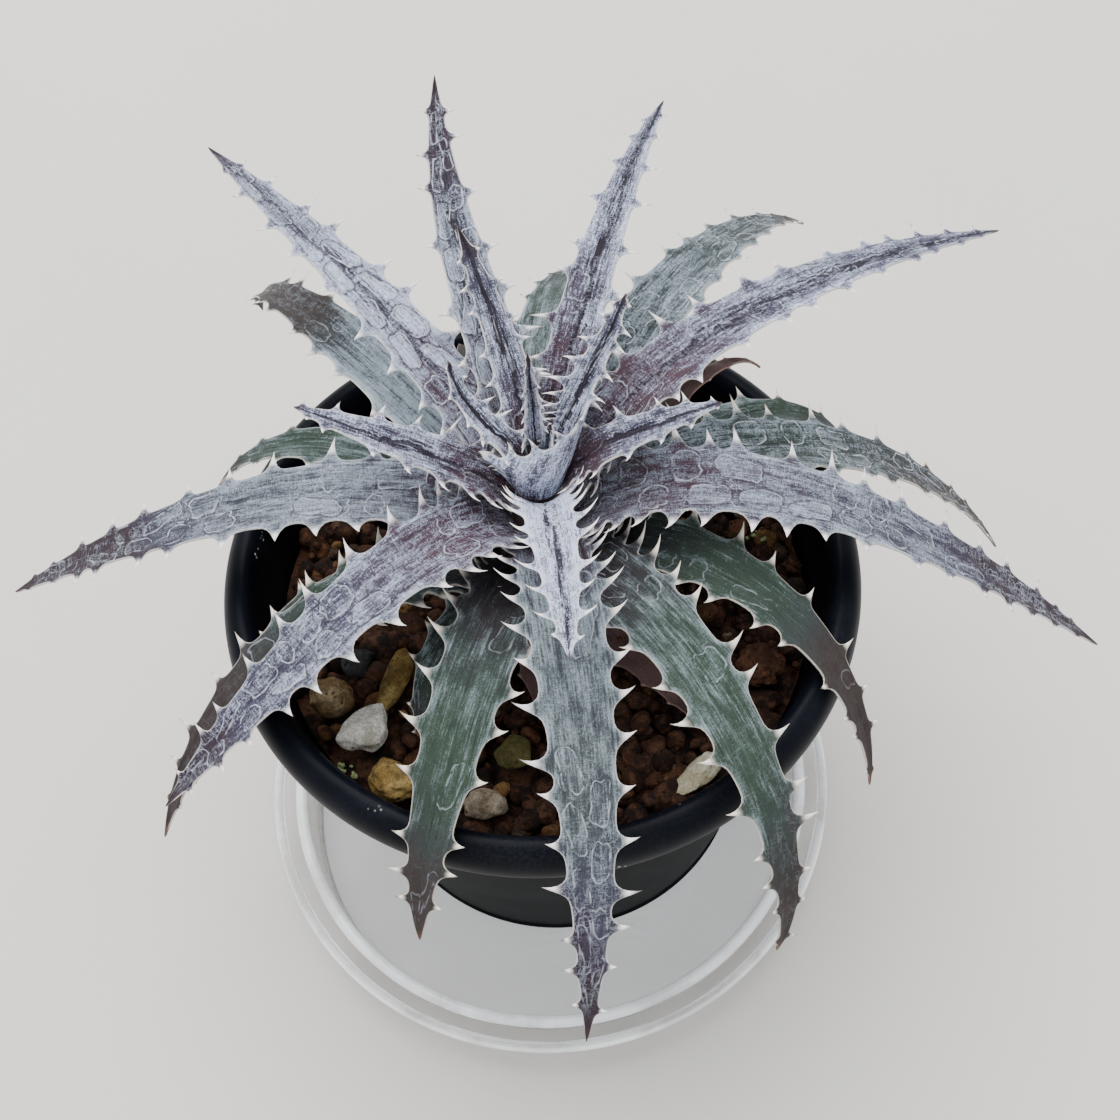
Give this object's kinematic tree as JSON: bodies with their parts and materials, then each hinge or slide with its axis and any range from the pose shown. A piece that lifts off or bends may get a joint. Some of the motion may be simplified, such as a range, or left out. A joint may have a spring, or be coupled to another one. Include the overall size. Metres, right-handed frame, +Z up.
{
  "type": "potted dyckia bromeliad",
  "caption": "Spiny rosette of silver-scurfed, toothed leaves on a short stem, growing in coarse grit in a round black pot that stands on a clear saucer.",
  "frame": {"origin": "on the saucer's flat underside, on the pot's axis", "axes": "+Z up along the pot's axis; -Y towards the side on which the saucer stands out from under the pot"},
  "size_m": [0.2137, 0.1713, 0.1449],
  "materials": {
    "saucer": "clear, glossy, thin sheet plastic",
    "pot": "black, satin on the collar and matt below",
    "grit": "dull, rough, red-brown fired clay grains",
    "stones": "dull pumice and rounded pebbles",
    "stem": "rough, brown, covered in old leaf bases",
    "young_leaf": "silver-white scurf over grey and purple-brown, with creamy spines",
    "old_leaf": "grey-green with worn silver scurf, dark dry tips and creamy spines",
    "dry_leaf": "withered, papery, brown"
  },
  "bodies": {
    "root": {"saucer": "saucer", "pot": "pot", "grit": "grit", "stem": "stem", "stone_tan": "stones", "stone_slate": "stones", "stone_ochre_long": "stones", "stone_pumice": "stones", "stone_ochre": "stones", "stone_beige": "stones", "stone_olive": "stones", "stone_cream": "stones", "stone_brown": "stones", "leaf_01": "young_leaf", "leaf_02": "young_leaf", "leaf_03": "young_leaf", "leaf_04": "young_leaf", "leaf_05": "young_leaf", "leaf_06": "young_leaf", "leaf_07": "young_leaf", "leaf_08": "young_leaf", "leaf_09": "young_leaf", "leaf_10": "young_leaf", "leaf_11": "young_leaf", "leaf_12": "young_leaf", "leaf_13": "young_leaf", "leaf_14": "young_leaf", "leaf_15": "young_leaf", "leaf_16": "young_leaf", "leaf_17": "old_leaf", "leaf_18": "old_leaf", "leaf_19": "old_leaf", "leaf_20": "old_leaf", "leaf_21": "old_leaf", "leaf_22": "old_leaf", "leaf_23": "old_leaf", "leaf_24": "old_leaf", "leaf_25": "old_leaf", "leaf_26": "old_leaf", "leaf_27": "old_leaf", "leaf_28": "old_leaf", "leaf_29": "old_leaf", "dry_leaf_1": "dry_leaf", "dry_leaf_2": "dry_leaf", "dry_leaf_3": "dry_leaf"}
  },
  "joints": []
}
